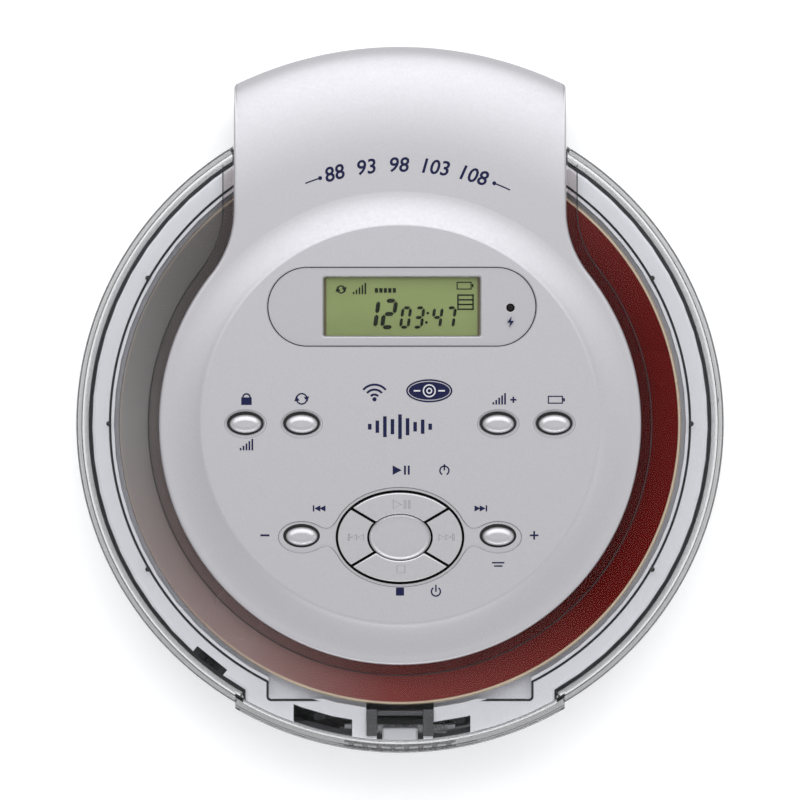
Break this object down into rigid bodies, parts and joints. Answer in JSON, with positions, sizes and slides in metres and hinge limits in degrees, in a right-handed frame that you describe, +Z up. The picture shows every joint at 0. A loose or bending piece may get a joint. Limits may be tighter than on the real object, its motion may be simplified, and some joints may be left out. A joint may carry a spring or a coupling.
{
  "type": "portable cd player",
  "caption": "Round portable disc player with a clear-rimmed hinged lid, keys and display on a silver cover, disc and pickup inside.",
  "frame": {"origin": "under the centre of the player's outline, on the plane that its feet rest on", "axes": "+Z up through the lid, +Y towards the lid hinge, +X to the right seen from the front"},
  "size_m": [0.138, 0.1509, 0.0293],
  "materials": {
    "silver_paint": "satin metallic paint on moulded plastic",
    "case_plastic": "fine matte moulded grey",
    "deck_plastic": "light silver-grey, satin",
    "clear_plastic": "clear polished moulding",
    "bright_plastic": "plated bright silver",
    "steel_metal": "plain steel",
    "spring_metal": "plated spring steel",
    "rubber_black": "soft matte black",
    "board_laminate": "green glass-fibre laminate",
    "black_plastic": "matte black moulding",
    "ivory_plastic": "natural self-lubricating plastic",
    "panel_plastic": "silver printed window panel",
    "lcd_glass": "olive green display",
    "disc_film": "metallised disc",
    "lens_glass": "coated lens"
  },
  "bodies": {
    "base": {"bottom_case": "case_plastic", "top_deck": "deck_plastic", "contact_bridge": "spring_metal", "contact_positive": "spring_metal", "contact_negative": "spring_metal", "foot_front_left": "rubber_black", "foot_front_right": "rubber_black", "foot_rear_left": "rubber_black", "foot_rear_right": "rubber_black", "main_board": "board_laminate", "headphone_jack": "black_plastic", "power_jack": "black_plastic", "mech_chassis": "steel_metal", "damper_front_right": "rubber_black", "damper_rear_right": "rubber_black", "damper_rear_left": "rubber_black", "spindle_motor": "steel_metal", "guide_rod_front": "steel_metal", "guide_rod_rear": "steel_metal", "sled_motor": "steel_metal", "latch_spring": "spring_metal", "latch_guide": "bright_plastic", "lid_switch": "black_plastic", "hinge_pin_left": "steel_metal", "hinge_pin_right": "steel_metal"},
    "door": {"battery_door": "case_plastic"},
    "spindle": {"disc": "disc_film", "turntable_hub": "black_plastic"},
    "sled": {"pickup_sled": "black_plastic", "pickup_lens": "lens_glass"},
    "gear": {"drive_gear": "ivory_plastic"},
    "pinion": {"motor_pinion": "ivory_plastic"},
    "volume": {"volume_wheel": "black_plastic"},
    "latch": {"latch_slider": "black_plastic", "open_knob": "bright_plastic"},
    "lid": {"lid_ring": "clear_plastic", "lid_cover": "silver_paint", "lid_board": "board_laminate", "lid_liner": "deck_plastic", "lid_ribbon": "black_plastic", "pad_centre": "silver_paint", "display_panel": "panel_plastic", "lcd_module": "lcd_glass", "charge_lamp": "black_plastic"},
    "key_oval_row_1": {"key_oval_row_1": "bright_plastic"},
    "key_oval_row_2": {"key_oval_row_2": "bright_plastic"},
    "key_oval_row_3": {"key_oval_row_3": "bright_plastic"},
    "key_oval_row_4": {"key_oval_row_4": "bright_plastic"},
    "key_oval_low_left": {"key_oval_low_left": "bright_plastic"},
    "key_oval_low_right": {"key_oval_low_right": "bright_plastic"},
    "key_pad_next": {"key_pad_next": "silver_paint"},
    "key_pad_play": {"key_pad_play": "silver_paint"},
    "key_pad_previous": {"key_pad_previous": "silver_paint"},
    "key_pad_stop": {"key_pad_stop": "silver_paint"}
  },
  "joints": [
    {"name": "lid_hinge", "type": "hinge", "parent": "base", "child": "lid", "pos_m": [0, 0.06795, 0.0203], "axis": [-1, 0, 0], "range_deg": [0, 80]},
    {"name": "disc_spin", "type": "hinge", "parent": "base", "child": "spindle", "pos_m": [0, -0.00505, 0.0186], "axis": [0, 0, 1], "continuous": true},
    {"name": "pickup_travel", "type": "slide", "parent": "base", "child": "sled", "axis": [-1, 0, 0], "range_m": [0, 0.032]},
    {"name": "drive_gear_turn", "type": "hinge", "parent": "base", "child": "gear", "pos_m": [-0.03, -0.02125, 0.0092], "axis": [0, 0, 1], "range_deg": [0, 459]},
    {"name": "motor_pinion_turn", "type": "hinge", "parent": "base", "child": "pinion", "pos_m": [-0.02343, -0.03361, 0.0085], "axis": [0, 0, 1], "range_deg": [-1147, 0]},
    {"name": "volume_turn", "type": "hinge", "parent": "base", "child": "volume", "pos_m": [0.06, -0.00105, 0.008], "axis": [0, 0, 1], "range_deg": [0, 270]},
    {"name": "open_latch", "type": "slide", "parent": "base", "child": "latch", "axis": [1, 0, 0], "range_m": [0, 0.0032], "stiffness_N_per_m": 300, "springref_m": -0.003, "deforming": ["latch_spring"]},
    {"name": "battery_door_slide", "type": "slide", "parent": "base", "child": "door", "axis": [0, 1, 0], "range_m": [0, 0.03]},
    {"name": "press_oval_row_1", "type": "slide", "parent": "lid", "child": "key_oval_row_1", "axis": [0, 0, -1], "range_m": [0, 0.0006], "stiffness_N_per_m": 900, "springref_m": -0.0006},
    {"name": "press_oval_row_2", "type": "slide", "parent": "lid", "child": "key_oval_row_2", "axis": [0, 0, -1], "range_m": [0, 0.0006], "stiffness_N_per_m": 900, "springref_m": -0.0006},
    {"name": "press_oval_row_3", "type": "slide", "parent": "lid", "child": "key_oval_row_3", "axis": [0, 0, -1], "range_m": [0, 0.0006], "stiffness_N_per_m": 900, "springref_m": -0.0006},
    {"name": "press_oval_row_4", "type": "slide", "parent": "lid", "child": "key_oval_row_4", "axis": [0, 0, -1], "range_m": [0, 0.0006], "stiffness_N_per_m": 900, "springref_m": -0.0006},
    {"name": "press_oval_low_left", "type": "slide", "parent": "lid", "child": "key_oval_low_left", "axis": [0, 0, -1], "range_m": [0, 0.0006], "stiffness_N_per_m": 900, "springref_m": -0.0006},
    {"name": "press_oval_low_right", "type": "slide", "parent": "lid", "child": "key_oval_low_right", "axis": [0, 0, -1], "range_m": [0, 0.0006], "stiffness_N_per_m": 900, "springref_m": -0.0006},
    {"name": "press_pad_next", "type": "slide", "parent": "lid", "child": "key_pad_next", "axis": [0, 0, -1], "range_m": [0, 0.0006], "stiffness_N_per_m": 900, "springref_m": -0.0006},
    {"name": "press_pad_play", "type": "slide", "parent": "lid", "child": "key_pad_play", "axis": [0, 0, -1], "range_m": [0, 0.0006], "stiffness_N_per_m": 900, "springref_m": -0.0006},
    {"name": "press_pad_previous", "type": "slide", "parent": "lid", "child": "key_pad_previous", "axis": [0, 0, -1], "range_m": [0, 0.0006], "stiffness_N_per_m": 900, "springref_m": -0.0006},
    {"name": "press_pad_stop", "type": "slide", "parent": "lid", "child": "key_pad_stop", "axis": [0, 0, -1], "range_m": [0, 0.0006], "stiffness_N_per_m": 900, "springref_m": -0.0006}
  ],
  "couplings": [
    {"joint": "drive_gear_turn", "follows": "pickup_travel", "rad_per_m": 250},
    {"joint": "motor_pinion_turn", "follows": "pickup_travel", "rad_per_m": -625}
  ]
}
